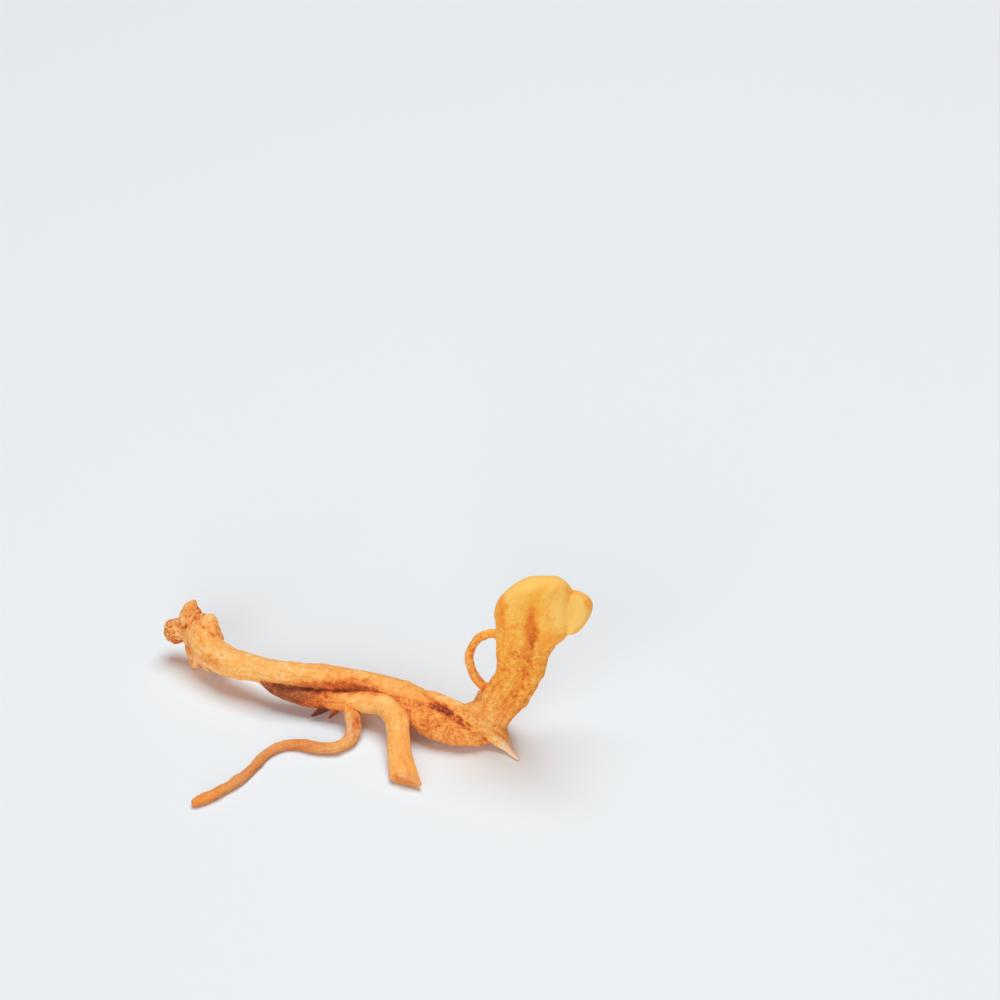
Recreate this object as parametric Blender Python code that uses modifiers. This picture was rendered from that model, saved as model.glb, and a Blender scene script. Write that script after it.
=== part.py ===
"""Dried cordyceps: one fused cluster of orange fruit bodies, dried hard and lying on its side.

Metres, +Z up. The cluster branches, so it is split at its forks into six solids. A limb is a list of
stations in millimetres, measured from the point where the belly touches the surface: X to the right,
Y away from the viewer and Z up, then the limb's breadth, its depth, its roll in degrees and how
deeply the dried skin is wrinkled there.
"""

import math

import bmesh
import bpy
import numpy as np
from mathutils import Euler, Matrix, Vector, noise

MM = 0.001
OBJECT_NAME = "dried_cordyceps"
BELLY_CONTACT = (10.08 * MM, -3.34 * MM, 0.0)

GAP = 0.3 * MM  # left between two neighbouring solids
HALF_GAP = GAP / MM / 2.0  # in the stations' millimetres
BLOCK = 60.0 * MM  # a cutting block covers all that lies past a cut
FLOOR_BLOCK = (80.0 * MM, 60.0 * MM, 10.0 * MM)

UP = Vector((0.0, 0.0, 1.0))
TOWARDS_VIEWER = Vector((0.0, -1.0, 0.0))

# The long strand runs from the torn rim of the heel to the tip in front of the club.
LONG_STRAND = [
    (-32.1, 17.2, 6.7, 2.4, 2.0, 0, 3.0),
    (-31.8, 16.7, 5.9, 4.2, 3.6, 0, 3.0),
    (-31.4, 15.9, 4.6, 5.2, 4.9, 0, 2.6),
    (-30.3, 14.5, 3.6, 5.1, 5.1, 8, 2.2),
    (-28.2, 12.0, 3.5, 3.8, 3.9, 14, 1.4),
    (-25.1, 9.8, 3.8, 2.8, 2.8, 20, 1.0),
    (-22.4, 8.5, 4.2, 2.7, 2.6, 28, 1.0),
    (-19.0, 7.9, 4.4, 2.6, 2.6, 36, 1.0),
    (-15.0, 7.5, 4.3, 2.7, 2.5, 44, 1.0),
    (-11.4, 6.8, 4.1, 2.5, 2.4, 50, 1.0),
    (-8.4, 6.0, 4.0, 2.5, 2.3, 50, 1.0),
    (-5.9, 4.9, 3.9, 2.5, 2.2, 42, 1.0),
    (-3.5, 3.3, 3.9, 2.6, 2.3, 32, 1.0),
    (-0.6, 1.5, 3.8, 2.8, 2.7, 22, 1.0),
    (2.4, 0.0, 3.2, 3.0, 3.0, 10, 1.0),
    (4.7, -1.1, 2.0, 2.3, 2.2, 0, 1.0),
    (6.2, -1.9, 1.0, 1.3, 1.1, 0, 0.6),
    (7.1, -2.9, 0.4, 0.6, 0.5, 0, 0.4),
]
FORK_STATION = 10  # the long stem ends here and the fused base starts
FORK = Vector(LONG_STRAND[FORK_STATION][:3])
BEFORE_FORK = Vector(LONG_STRAND[FORK_STATION - 1][:3])
AFTER_FORK = Vector(LONG_STRAND[FORK_STATION + 1][:3])
FORK_ALONG = (AFTER_FORK - BEFORE_FORK).normalized()

FOOT_STEM = [
    (-21.5, 7.3, 2.8, 0.8, 0.6, 0, 0.5),
    (-19.1, 6.8, 2.6, 2.0, 1.4, 0, 1.0),
    (-16.7, 6.1, 2.5, 2.4, 1.9, -8, 1.0),
    (-13.6, 5.2, 2.7, 2.6, 2.3, -14, 1.0),
    (-10.9, 4.7, 3.0, 2.7, 2.5, -14, 1.0),
    (-8.9, 3.6, 3.2, 2.8, 2.5, -6, 1.0),
    (-7.7, 1.9, 3.0, 2.9, 2.4, 0, 1.0),
    (-7.3, -0.5, 2.5, 3.0, 2.2, 4, 1.0),
    (-7.0, -3.3, 1.9, 3.2, 2.1, 8, 1.0),
    (-6.5, -5.9, 1.2, 3.4, 2.0, 8, 1.0),
    (-6.0, -8.3, 0.75, 3.7, 2.0, 6, 1.0),
    (-5.8, -10.4, 0.7, 3.9, 2.0, 6, 1.0),
]
FOOT_END = (-5.8, -8.1, 1.0)
FOOT_END_FACES = (-0.34, -0.9, -0.12)  # the foot is cut off on a slant

BELLY = [
    (-9.4, 4.7, 3.0, 2.2, 2.0, 0, 0.6),
    (-7.4, 3.8, 2.9, 2.9, 2.7, 0, 0.8),
    (-5.2, 2.7, 2.6, 3.4, 3.3, 0, 1.0),
    (-2.4, 1.3, 2.1, 4.0, 3.9, 0, 1.0),
    (0.2, 0.7, 1.8, 4.2, 3.9, 0, 1.0),
    (2.9, 0.6, 1.7, 4.0, 3.7, 0, 1.0),
    (4.8, 0.8, 1.5, 3.1, 3.2, 0, 0.8),
    (6.0, 1.3, 1.4, 1.4, 1.6, 0, 0.6),
]

CLUB = [
    (4.6, 5.0, -0.3, 6.2, 2.6, 0, 1.0),
    (4.6, 4.5, 1.2, 7.0, 3.0, 0, 1.0),
    (4.6, 3.4, 3.2, 7.5, 3.4, 0, 1.0),
    (5.0, 2.3, 5.0, 7.1, 3.3, 0, 1.0),
    (6.2, 1.6, 6.8, 6.0, 3.0, -3, 1.0),
    (7.2, 1.4, 8.6, 5.9, 2.9, -5, 1.0),
    (7.7, 1.4, 11.2, 6.4, 2.8, -5, 1.0),
    (8.1, 1.5, 13.2, 7.5, 2.9, -4, 0.9),
    (9.0, 1.6, 15.2, 9.7, 3.4, -2, 0.8),
    (9.3, 1.6, 17.5, 10.5, 4.0, 0, 0.7),
    (9.4, 1.6, 19.4, 10.1, 4.3, 0, 0.6),
    (9.5, 1.5, 21.3, 9.1, 4.1, 0, 0.5),
    (9.6, 1.5, 22.6, 7.0, 3.2, 0, 0.4),
    (9.8, 1.5, 23.5, 3.0, 1.6, 0, 0.3),
]

RUNNER = [
    (-13.3, 4.6, 2.6, 1.3, 1.3, 0, 1.0),
    (-12.8, 2.8, 1.9, 1.4, 1.3, 0, 1.0),
    (-12.3, 0.9, 1.1, 1.5, 1.4, 0, 1.0),
    (-12.9, -0.6, 0.65, 1.7, 1.5, 0, 1.0),
    (-14.8, -1.3, 0.6, 1.8, 1.5, 0, 1.0),
    (-17.6, -1.1, 0.65, 1.8, 1.5, 0, 1.0),
    (-20.5, -1.6, 0.6, 1.6, 1.4, 0, 1.0),
    (-23.0, -3.5, 0.6, 1.6, 1.4, 0, 1.0),
    (-25.3, -6.5, 0.6, 1.6, 1.4, 0, 1.0),
    (-27.6, -9.3, 0.6, 1.5, 1.3, 0, 1.0),
    (-29.8, -11.0, 0.6, 1.6, 1.4, 0, 1.0),
    (-30.8, -11.5, 0.6, 1.0, 1.0, 0, 0.5),
]

CURL = [
    (5.2, 2.0, 15.0, 1.1, 1.1, 0, 1.0),
    (3.2, 2.4, 14.4, 1.1, 1.0, 0, 1.0),
    (1.7, 2.6, 12.6, 1.1, 1.1, 0, 1.0),
    (1.2, 2.6, 10.2, 1.0, 1.0, 0, 1.0),
    (1.6, 2.5, 8.0, 1.1, 1.0, 0, 1.0),
    (2.7, 2.4, 6.7, 1.2, 1.1, 0, 1.0),
    (5.0, 2.2, 6.2, 1.2, 1.2, 0, 1.0),
]

NUB = [
    (-31.8, 16.4, 4.2, 1.6, 1.6, 0, 1.0),
    (-33.3, 16.8, 4.0, 1.7, 1.8, 0, 1.0),
    (-34.3, 17.1, 3.9, 2.6, 2.6, 0, 1.0),
    (-35.3, 17.3, 3.8, 2.5, 2.6, 0, 1.0),
    (-36.0, 17.4, 3.7, 1.2, 1.3, 0, 1.0),
]
FAR_PEAK = [
    (-31.4, 16.0, 4.8, 3.2, 2.8, 0, 1.0),
    (-32.2, 17.2, 6.5, 2.0, 1.5, 0, 2.0),
    (-32.8, 17.9, 7.8, 0.8, 0.6, 0, 1.0),
]
BACK_PEAK = [
    (-32.4, 16.0, 4.6, 2.6, 2.4, 0, 1.0),
    (-33.1, 15.9, 6.0, 1.5, 1.3, 0, 2.0),
    (-33.3, 15.8, 6.9, 0.6, 0.6, 0, 1.0),
]
NEAR_PEAK = [
    (-31.0, 15.2, 4.2, 3.0, 2.6, 0, 1.0),
    (-29.8, 15.8, 5.8, 2.0, 1.5, 0, 2.0),
    (-29.1, 16.2, 7.0, 0.8, 0.6, 0, 1.0),
]
FLAKE = [
    (-15.4, 5.3, 2.2, 1.4, 0.8, 0, 1.0),
    (-16.1, 4.3, 1.6, 1.6, 0.8, 20, 1.0),
    (-17.1, 3.8, 1.0, 0.6, 0.5, 40, 1.0),
]

# Lumps and the hollow in the heel's rim are ellipsoids, turned about Y by some degrees. Each has a
# seed of its own for its roughness.
LUMPS = {
    "heel_lump": dict(centre=(-31.0, 15.6, 2.35), half_sizes=(2.5, 2.5, 2.5), turn=0, seed=1.0),
    "heel_skirt": dict(centre=(-29.4, 13.3, 2.5), half_sizes=(2.2, 1.9, 1.9), turn=0, seed=2.0),
    "rim_hollow": dict(centre=(-31.2, 16.7, 7.4), half_sizes=(1.2, 1.3, 1.5), turn=12, seed=17.0),
    "base_web": dict(centre=(3.9, 0.8, 2.4), half_sizes=(2.2, 1.7, 1.9), turn=0, seed=10.0),
    "head_lobe": dict(centre=(13.9, 1.1, 18.9), half_sizes=(1.9, 1.9, 2.7), turn=-6, seed=12.0),
}

# How each limb is grown: the side its depth faces, the points round it, the step between its rings
# in millimetres, and a seed of its own for the wrinkles.
LIMBS = {
    "long_strand": dict(stations=LONG_STRAND, facing=UP, sides=11, step=1.8, seed=3.0),
    "foot_stem": dict(stations=FOOT_STEM, facing=UP, sides=10, step=1.8, seed=7.0),
    "belly": dict(stations=BELLY, facing=UP, sides=12, step=1.6, seed=9.0),
    "club": dict(stations=CLUB, facing=TOWARDS_VIEWER, sides=14, step=1.7, seed=11.0, valley=0.24),
    "runner": dict(stations=RUNNER, facing=UP, sides=6, step=1.8, seed=14.0),
    "curl": dict(stations=CURL, facing=TOWARDS_VIEWER, sides=6, step=1.3, seed=15.0),
    "nub": dict(stations=NUB, facing=UP, sides=8, step=0.9, seed=4.0),
    "far_peak": dict(stations=FAR_PEAK, facing=UP, sides=7, step=1.0, seed=5.0),
    "near_peak": dict(stations=NEAR_PEAK, facing=UP, sides=7, step=1.0, seed=6.0),
    "back_peak": dict(stations=BACK_PEAK, facing=UP, sides=7, step=1.0, seed=16.0),
    "flake": dict(stations=FLAKE, facing=UP, sides=6, step=0.9, seed=8.0),
}

FLUTES = 2.4  # a higher value gives more flutes round a limb
FLUTE_LENGTH = 9.0
FLUTE_DEPTH = 0.42
LUMP_LENGTH = 2.4
LUMP_DEPTH = 0.28
SIDE_SHARE = 0.4  # the outline ripples less than the faces
VALLEY_BREADTH = 0.4
BALL_LUMPS = 1.6
BALL_LUMP_DEPTH = 0.16

COLOURS = {
    "long_stem": (0.90, 0.42, 0.10),
    "foot_stem": (0.92, 0.44, 0.11),
    "fused_base": (0.76, 0.26, 0.06),
    "club": (0.94, 0.44, 0.08),
    "thin_runner": (0.72, 0.28, 0.09),
    "side_curl": (0.70, 0.27, 0.09),
}
ROUGHNESS = 0.85


def clear_scene():
    for item in list(bpy.data.objects):
        bpy.data.objects.remove(item)


def make_collection(name, visible):
    collection = bpy.data.collections.new(name)
    collection.hide_render = not visible
    bpy.context.scene.collection.children.link(collection)
    return collection


def flesh(name):
    """Dry, powdery flesh in the colour of one piece."""
    material = bpy.data.materials.new(name + "_flesh")
    material.use_nodes = True
    shader = material.node_tree.nodes["Principled BSDF"]
    shader.inputs["Base Color"].default_value = (*COLOURS[name], 1.0)
    shader.inputs["Roughness"].default_value = ROUGHNESS
    shader.inputs["Metallic"].default_value = 0.0
    return material


def rings_along(stations, step):
    """Evenly spaced rings on a smooth curve through the stations."""
    knots = np.array(stations, dtype=float)
    lengths = np.linalg.norm(np.diff(knots[:, :3], axis=0), axis=1)
    reached = np.concatenate([[0.0], np.cumsum(lengths)])
    slopes = np.gradient(knots, reached, axis=0)
    rings = []
    for at in np.linspace(0.0, reached[-1], max(3, round(reached[-1] / step) + 1)):
        left = min(int(np.searchsorted(reached, at, side="right")) - 1, len(knots) - 2)
        span = reached[left + 1] - reached[left]
        t = (at - reached[left]) / span
        rings.append(
            (2 * t**3 - 3 * t**2 + 1) * knots[left]
            + (t**3 - 2 * t**2 + t) * span * slopes[left]
            + (3 * t**2 - 2 * t**3) * knots[left + 1]
            + (t**3 - t**2) * span * slopes[left + 1]
        )
    return rings


def ring_axes(rings, index, facing):
    """The breadth and depth directions of one ring, rolled about the limb."""
    before = Vector(rings[max(index - 1, 0)][:3])
    after = Vector(rings[min(index + 1, len(rings) - 1)][:3])
    along = (after - before).normalized()
    across = along.cross(facing).normalized()
    roll = Matrix.Rotation(math.radians(rings[index][5]), 3, along)
    return roll @ across, roll @ across.cross(along)


def ripple(angle, along, seed):
    """How far the dried skin stands out of its plain oval: lengthwise flutes and soft lumps."""
    flute_at = Vector((FLUTES * math.cos(angle), FLUTES * math.sin(angle), along / FLUTE_LENGTH + seed))
    lump_at = Vector((math.cos(angle), math.sin(angle), along / LUMP_LENGTH - seed))
    return FLUTE_DEPTH * noise.noise(flute_at) + LUMP_DEPTH * noise.noise(lump_at)


def grow_limb(name, limb=None):
    """A coarse cage extruded ring by ring along the limb's stations, smoothed by Subdivision Surface."""
    shape = LIMBS[limb or name]
    sides = shape["sides"]
    rings = rings_along(shape["stations"], shape["step"])
    # Smoothing moves a ring's corner to 6/8 of itself and 1/8 of each neighbour, so the cage is wider.
    swell = 8.0 / (6.0 + 2.0 * math.cos(2.0 * math.pi / sides))
    cage = bmesh.new()
    spoke = cage.verts.layers.int.new("spoke")
    ring_verts = bmesh.ops.create_circle(cage, cap_ends=True, segments=sides, radius=1.0)["verts"]
    for index, vert in enumerate(ring_verts):
        vert[spoke] = index
    cap = cage.faces[:]
    for index, ring in enumerate(rings):
        if index:
            grown = bmesh.ops.extrude_face_region(cage, geom=cap)["geom"]
            if index > 1:  # the first cap stays as the limb's start
                bmesh.ops.delete(cage, geom=cap, context="FACES_ONLY")
            ring_verts = [item for item in grown if isinstance(item, bmesh.types.BMVert)]
            cap = [item for item in grown if isinstance(item, bmesh.types.BMFace)]
        centre, breadth, depth, wrinkle = Vector(ring[:3]), ring[3], ring[4], ring[6]
        across, deep = ring_axes(rings, index, shape["facing"])
        for vert in ring_verts:
            angle = 2.0 * math.pi * vert[spoke] / sides
            out = wrinkle * ripple(angle, index * shape["step"], shape["seed"])
            valley = shape.get("valley", 0.0) * math.exp(-((math.cos(angle) / VALLEY_BREADTH) ** 2))
            side = math.cos(angle) * breadth / 2.0 * (1.0 + SIDE_SHARE * out)
            face = math.sin(angle) * depth / 2.0 * (1.0 + out - valley)
            vert.co = (centre + (across * side + deep * face) * swell) * MM
    bmesh.ops.recalc_face_normals(cage, faces=cage.faces[:])
    return mesh_object(name, cage)


def swell_lump(name, lump=None):
    """A rounded lump, roughened a little, that a limb is fused with or hollowed by."""
    shape = LUMPS[lump or name]
    ball = bmesh.new()
    bmesh.ops.create_icosphere(ball, subdivisions=2, radius=1.0)
    turn = Euler((0.0, math.radians(shape["turn"]), 0.0))
    place = Matrix.LocRotScale(Vector(shape["centre"]), turn, Vector(shape["half_sizes"]))
    start = Vector((shape["seed"], 0.0, 0.0))
    for vert in ball.verts:
        rough = 1.0 + BALL_LUMP_DEPTH * noise.noise(vert.co * BALL_LUMPS + start)
        vert.co = (place @ (vert.co * rough)) * MM
    return mesh_object(name, ball, levels=0)


def mesh_object(name, cage, levels=1):
    mesh = bpy.data.meshes.new(name)
    cage.to_mesh(mesh)
    cage.free()
    mesh.shade_smooth()
    made = bpy.data.objects.new(name, mesh)
    if levels:
        smooth = made.modifiers.new("rounded", "SUBSURF")
        smooth.levels = levels
        smooth.render_levels = levels
    return made


def keep_as_helper(made):
    helpers.objects.link(made)
    made.parent = cluster
    made.hide_render = True
    made.display_type = "WIRE"
    return made


def boolean(piece, other, operation):
    joint = piece.modifiers.new(operation.lower() + "_" + other.name, "BOOLEAN")
    joint.operation = operation
    joint.solver = "EXACT"
    joint.object = other


def fuse(piece, *others):
    for other in others:
        boolean(piece, keep_as_helper(other), "UNION")


def clear_of(piece, *neighbours):
    """Cuts the piece back to a gap all round each neighbour."""
    for neighbour in neighbours:
        grown = neighbour.copy()
        grown.name = piece.name + "_clear_of_" + neighbour.name
        grow = grown.modifiers.new("gap", "DISPLACE")
        grow.strength = GAP
        grow.mid_level = 0.0
        boolean(piece, keep_as_helper(grown), "DIFFERENCE")


def cut_off(piece, point, facing):
    """Cuts the piece flat at a point, and takes away all that lies beyond it."""
    block = bmesh.new()
    bmesh.ops.create_cube(block, size=BLOCK)
    facing = Vector(facing).normalized()
    turn = UP.rotation_difference(facing).to_matrix().to_4x4()
    middle = Vector(point) * MM + facing * (BLOCK / 2.0)
    bmesh.ops.transform(block, matrix=Matrix.Translation(middle) @ turn, verts=block.verts)
    boolean(piece, keep_as_helper(mesh_object(piece.name + "_end_block", block, 0)), "DIFFERENCE")


def settle(piece):
    """Presses the underside flat where it rests on the surface."""
    boolean(piece, surface_block, "DIFFERENCE")


def add_piece(piece):
    parts.objects.link(piece)
    piece.parent = cluster
    piece.data.materials.append(flesh(piece.name))
    return piece


def build_long_stem():
    stem = grow_limb("long_stem", "long_strand")
    fuse(
        stem,
        swell_lump("heel_lump"),
        swell_lump("heel_skirt"),
        grow_limb("nub"),
        grow_limb("far_peak"),
        grow_limb("near_peak"),
        grow_limb("back_peak"),
    )
    boolean(stem, keep_as_helper(swell_lump("rim_hollow")), "DIFFERENCE")
    cut_off(stem, FORK - FORK_ALONG * HALF_GAP, FORK_ALONG)
    settle(stem)
    return add_piece(stem)


def build_foot_stem(whole_strand):
    stem = grow_limb("foot_stem")
    fuse(stem, grow_limb("flake"))
    clear_of(stem, whole_strand)
    cut_off(stem, FOOT_END, FOOT_END_FACES)
    settle(stem)
    return add_piece(stem)


def build_fused_base(whole_foot_stem):
    base = grow_limb("fused_base", "long_strand")
    belly = grow_limb("belly")
    clear_of(belly, whole_foot_stem)
    fuse(base, belly, swell_lump("base_web"))
    cut_off(base, FORK + FORK_ALONG * HALF_GAP, -FORK_ALONG)
    settle(base)
    return add_piece(base)


def build_club(neighbours):
    club = grow_limb("club")
    fuse(club, swell_lump("head_lobe"))
    clear_of(club, *neighbours)
    settle(club)
    return add_piece(club)


def build_thin_runner(whole_foot_stem):
    runner = grow_limb("thin_runner", "runner")
    clear_of(runner, whole_foot_stem)
    settle(runner)
    return add_piece(runner)


def build_side_curl(whole_club):
    curl = grow_limb("side_curl", "curl")
    clear_of(curl, whole_club)
    return add_piece(curl)


def make_surface_block():
    """All that lies below the surface the cluster rests on."""
    slab = bmesh.new()
    bmesh.ops.create_cube(slab, size=1.0)
    bmesh.ops.scale(slab, vec=FLOOR_BLOCK, verts=slab.verts)
    bmesh.ops.translate(slab, vec=(0.0, 0.0, -FLOOR_BLOCK[2] / 2.0), verts=slab.verts)
    return keep_as_helper(mesh_object("surface_block", slab, levels=0))


clear_scene()
parts = make_collection(OBJECT_NAME, visible=True)
helpers = make_collection(OBJECT_NAME + "_cutters", visible=False)
cluster = bpy.data.objects.new("cluster", None)
cluster.location = BELLY_CONTACT
parts.objects.link(cluster)
surface_block = make_surface_block()

whole_strand = keep_as_helper(grow_limb("whole_strand", "long_strand"))
whole_foot_stem = keep_as_helper(grow_limb("whole_foot_stem", "foot_stem"))
whole_belly = keep_as_helper(grow_limb("whole_belly", "belly"))
whole_web = keep_as_helper(swell_lump("whole_web", "base_web"))
whole_club = keep_as_helper(grow_limb("whole_club", "club"))

build_long_stem()
build_foot_stem(whole_strand)
build_fused_base(whole_foot_stem)
build_club([whole_strand, whole_belly, whole_web])
build_thin_runner(whole_foot_stem)
build_side_curl(whole_club)
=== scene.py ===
"""Dried cordyceps: one fused cluster of orange fruit bodies, dried hard and lying on its side.

Each limb is a ring extruded along its stations. The limbs are remeshed into one flesh, which gets
its dried skin from geometry nodes and its colour from a material that follows the skin's relief.
"""

import math

import bmesh
import bpy
import numpy as np
from mathutils import Matrix, Vector


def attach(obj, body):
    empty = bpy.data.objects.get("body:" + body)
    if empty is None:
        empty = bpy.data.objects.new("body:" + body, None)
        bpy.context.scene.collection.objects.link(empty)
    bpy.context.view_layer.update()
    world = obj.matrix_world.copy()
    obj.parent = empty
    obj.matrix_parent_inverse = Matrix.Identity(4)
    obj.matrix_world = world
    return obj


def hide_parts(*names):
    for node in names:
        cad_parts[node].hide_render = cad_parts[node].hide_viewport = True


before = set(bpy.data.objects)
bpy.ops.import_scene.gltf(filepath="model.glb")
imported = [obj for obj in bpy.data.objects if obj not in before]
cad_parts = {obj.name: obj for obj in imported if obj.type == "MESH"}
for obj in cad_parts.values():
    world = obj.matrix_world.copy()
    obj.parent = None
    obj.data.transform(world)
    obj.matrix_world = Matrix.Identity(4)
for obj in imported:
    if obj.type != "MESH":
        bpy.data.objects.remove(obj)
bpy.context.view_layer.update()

MM = 0.001
BELLY_CONTACT = Vector((10.08, -3.34, 0.0)) * MM  # where the belly touches the surface
MIDDLE = Vector((0.0, 0.0, 0.0))
UP = Vector((0.0, 0.0, 1.0))
TOWARDS_VIEWER = Vector((0.0, -1.0, 0.0))
TURN_SIGN = -1.0 if bpy.app.background else 1.0  # transform.rotate turns the other way with no window

RING_POINTS = 24
RING_STEP = 0.6  # between two rings of a limb, in the stations' millimetres
FEWEST_RINGS = 4
LIMBS_APART = 100.0  # keeps the grain of one limb from lining up with another's
VOXEL = 0.1 * MM
MOST_TRIANGLES = 190000

# Undersides get painted shade, darker and redder on the ramp, partly their own redder colour.
UNDERSIDE_PAINTED_SHADE = 0.16
UNDERSIDE_BELOW = 0.2  # a spoke that rises less than this counts as underside
FULL_WRINKLE_GIRTH = 2.6  # thinner limbs have shallower wrinkles

# A limb's stations are in millimetres from the point where the belly touches the surface: X to the
# right, Y away from the viewer, Z up, breadth, depth, roll in degrees, and how wrinkled the skin is.
PLACE = slice(0, 3)
HEIGHT, BREADTH, DEPTH, ROLL, WRINKLE = 2, 3, 4, 5, 6
LONG_STRAND = [
    (-31.9, 16.8, 6.1, 2.0, 1.8, 0, 1.2),
    (-31.7, 16.5, 5.6, 3.6, 3.2, 0, 1.0),
    (-31.4, 15.8, 4.6, 4.5, 4.5, 0, 0.8),
    (-30.6, 14.25, 3.7, 3.9, 4.7, 8, 0.7),
    (-28.3, 11.8, 3.6, 3.6, 4.0, 14, 0.6),
    (-25.1, 9.8, 3.9, 3.2, 3.2, 20, 0.5),
    (-22.4, 8.5, 4.2, 2.9, 2.9, 28, 0.5),
    (-19.0, 7.9, 4.3, 2.9, 2.9, 36, 0.5),
    (-15.0, 7.4, 4.2, 3.1, 2.9, 44, 0.5),
    (-11.4, 6.7, 4.0, 3.0, 2.9, 50, 0.5),
    (-8.4, 5.6, 3.95, 3.0, 2.9, 50, 0.5),
    (-5.4, 4.2, 3.7, 3.0, 2.9, 40, 0.5),
    (-3.6, 3.3, 3.0, 2.5, 2.4, 20, 0.4),
    (-2.2, 2.6, 2.6, 2.2, 2.2, 0, 0.4),
    (-0.8, 1.9, 2.4, 2.2, 2.2, 0, 0.4),
    (1.0, 1.2, 2.2, 2.3, 2.3, 0, 0.4),
    (3.0, 0.8, 1.9, 2.2, 2.2, 0, 0.4),
    (4.3, 0.6, 1.5, 1.4, 1.6, 0, 0.4),
]
RIDGE = [
    (-5.0, 4.9, 3.8, 1.3, 1.2, 0, 0.5),
    (-3.6, 4.1, 4.0, 1.6, 1.4, 0, 0.6),
    (-2.3, 3.2, 4.05, 1.8, 1.6, 0, 0.7),
    (-1.1, 2.3, 4.0, 2.0, 1.7, 0, 0.7),
    (0.6, 1.3, 3.6, 2.3, 1.9, 0, 0.8),
    (2.1, 0.5, 2.8, 2.4, 1.9, 0, 0.8),
    (3.5, -0.1, 1.9, 2.2, 1.6, 0, 0.8),
    (5.05, -1.0, 1.0, 1.3, 1.1, 0, 0.8),
    (5.7, -1.65, 0.62, 0.8, 0.7, 0, 0.6),
    (6.3, -2.4, 0.4, 0.5, 0.45, 0, 0.4),
    (6.95, -3.0, 0.25, 0.3, 0.3, 0, 0.4),
]
TIP_FLAP = [
    (4.2, 1.1, 2.6, 2.6, 2.2, 0, 0.6),
    (4.45, 0.4, 1.7, 2.3, 1.7, 0, 0.6),
    (5.0, -0.4, 1.0, 1.8, 1.2, 0, 0.6),
    (5.5, -1.1, 0.62, 1.3, 0.8, 0, 0.6),
    (5.95, -1.75, 0.45, 0.9, 0.55, 0, 0.5),
    (6.4, -2.35, 0.35, 0.75, 0.42, 0, 0.4),
    (7.0, -3.1, 0.25, 0.3, 0.28, 0, 0.4),
]
FOOT_STEM = [
    (-23.8, 8.2, 3.3, 0.7, 0.6, 0, 0.4),
    (-22.1, 7.5, 2.8, 2.0, 1.5, 0, 0.5),
    (-20.0, 6.8, 2.4, 2.3, 1.8, 0, 0.6),
    (-18.0, 6.2, 2.2, 2.4, 2.0, 0, 0.6),
    (-16.2, 5.7, 2.3, 2.4, 2.1, -8, 0.6),
    (-13.6, 5.0, 2.5, 2.6, 2.3, -14, 0.6),
    (-10.9, 4.5, 2.8, 2.8, 2.5, -14, 0.5),
    (-8.9, 3.5, 3.1, 2.9, 2.5, -6, 0.5),
    (-7.7, 1.9, 3.0, 3.0, 2.4, 0, 0.5),
    (-7.25, -0.5, 2.5, 2.6, 2.2, 4, 0.5),
    (-7.0, -3.3, 1.8, 2.75, 2.0, 8, 0.4),
    (-6.6, -5.9, 1.05, 3.15, 1.7, 8, 0.3),
    (-6.15, -8.3, 0.6, 3.6, 1.3, 6, 0.3),
    (-5.9, -10.4, 0.5, 3.8, 1.2, 6, 0.3),
]
FOOT_END = Vector((-5.8, -7.8, 1.0)) * MM
FOOT_END_FACES = Vector((-0.34, -0.9, -0.12)).normalized()
BELLY = [
    (-9.4, 4.7, 3.0, 2.2, 2.0, 0, 0.4),
    (-7.4, 3.8, 2.9, 2.9, 2.7, 0, 0.4),
    (-5.2, 2.6, 2.6, 3.4, 3.3, 0, 0.4),
    (-2.4, 1.1, 2.0, 3.9, 3.7, 0, 0.4),
    (0.2, 0.6, 1.7, 4.1, 3.5, 0, 0.4),
    (2.5, 0.5, 1.45, 3.5, 3.0, 0, 0.4),
    (3.7, 0.5, 1.25, 2.4, 2.3, 0, 0.4),
    (4.4, 0.6, 1.1, 1.1, 1.2, 0, 0.4),
]
CLUB = [
    (4.1, 0.9, 1.6, 2.4, 2.0, 0, 0.4),
    (4.25, 1.0, 2.9, 3.1, 2.6, 0, 0.5),
    (4.55, 1.2, 4.1, 4.2, 2.9, 0, 0.5),
    (5.0, 1.4, 5.5, 5.0, 3.0, 0, 0.6),
    (5.75, 1.5, 6.7, 5.4, 3.0, -2, 0.6),
    (6.45, 1.5, 8.0, 5.3, 2.9, -4, 0.6),
    (7.05, 1.5, 9.6, 5.5, 2.8, -5, 0.6),
    (7.25, 1.5, 11.0, 5.8, 2.8, -5, 0.5),
    (7.3, 1.5, 12.4, 6.2, 2.9, -4, 0.4),
    (7.5, 1.5, 13.8, 6.8, 3.1, -3, 0.3),
    (7.8, 1.5, 15.2, 7.6, 3.4, -2, 0.25),
    (8.6, 1.55, 17.0, 9.4, 4.0, 0, 0.2),
    (8.95, 1.6, 18.8, 9.8, 4.3, 0, 0.2),
    (9.0, 1.6, 20.2, 8.9, 4.2, 0, 0.2),
    (9.25, 1.5, 21.3, 7.7, 3.8, 0, 0.2),
    (9.5, 1.5, 22.3, 6.1, 3.1, 0, 0.2),
    (9.8, 1.5, 23.0, 4.2, 2.3, 0, 0.2),
    (9.9, 1.5, 23.3, 2.6, 1.3, 0, 0.2),
]
ROLLED_RIM = [
    (12.6, 1.35, 21.45, 2.3, 1.3, 0, 0.1),
    (13.35, 1.25, 20.65, 3.3, 1.9, 0, 0.1),
    (13.85, 1.15, 19.5, 3.1, 2.1, 0, 0.1),
    (13.6, 1.15, 18.4, 3.0, 2.1, 0, 0.1),
    (13.2, 1.15, 17.4, 2.7, 2.0, 0, 0.1),
    (12.65, 1.2, 16.5, 2.4, 1.8, 0, 0.1),
    (12.0, 1.25, 16.1, 1.6, 1.4, 0, 0.2),
]
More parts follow.
